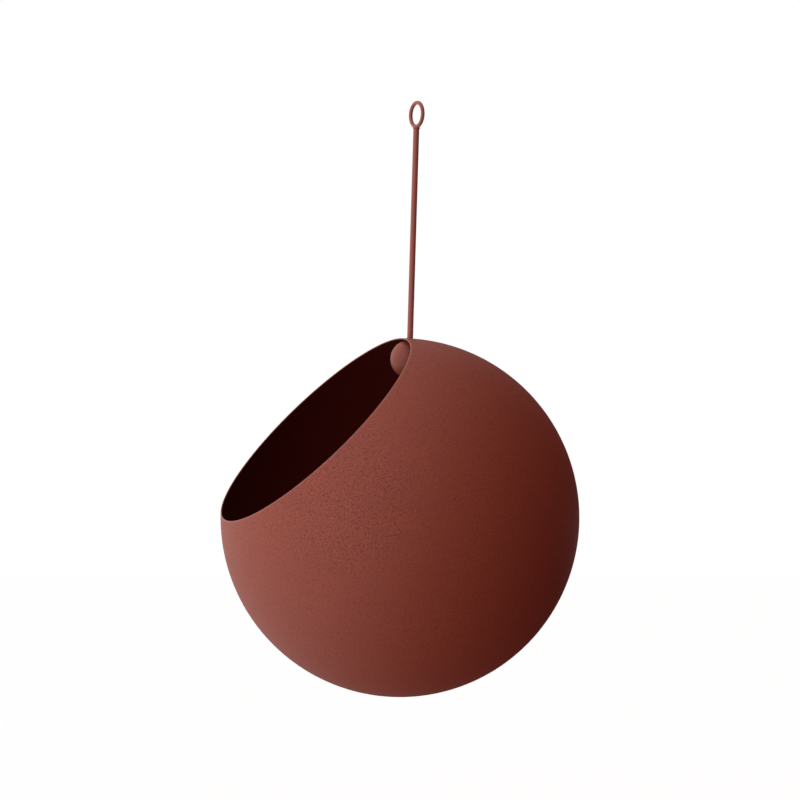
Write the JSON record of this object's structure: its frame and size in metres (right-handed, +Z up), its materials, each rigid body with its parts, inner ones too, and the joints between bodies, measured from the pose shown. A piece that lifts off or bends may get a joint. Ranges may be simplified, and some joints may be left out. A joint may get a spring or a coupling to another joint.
{
  "type": "globe hanging planter",
  "caption": "Steel globe planter with a slanted round mouth, hung on a slim rod that passes through a hole by the rim to a ball inside, with a ring eye on top.",
  "frame": {"origin": "centre of the eye that the planter hangs from", "axes": "+Z straight up as the planter hangs at rest, mouth facing up and towards -Y, YZ the plane of symmetry of the globe and its rod"},
  "size_m": [0.3, 0.3, 0.499],
  "materials": {
    "globe_coat": "fine textured matt powder coat, red brown",
    "rod_coat": "satin powder coat, red brown",
    "ball_coat": "smooth satin powder coat, red brown"
  },
  "bodies": {
    "hanger": {"hanging_rod": "rod_coat", "hanging_eye": "rod_coat", "eye_weld": "rod_coat"},
    "ball": {"stop_ball": "ball_coat"},
    "globe": {"globe_shell": "globe_coat"}
  },
  "joints": [
    {"name": "globe_swivel", "type": "hinge", "parent": "hanger", "child": "ball", "pos_m": [0, -0.00648, -0.2049], "axis": [0, 0.0316, 0.9995], "continuous": true},
    {"name": "globe_lift", "type": "slide", "parent": "ball", "child": "globe", "axis": [0, 0.0316, 0.9995], "range_m": [0, 0.174]}
  ]
}
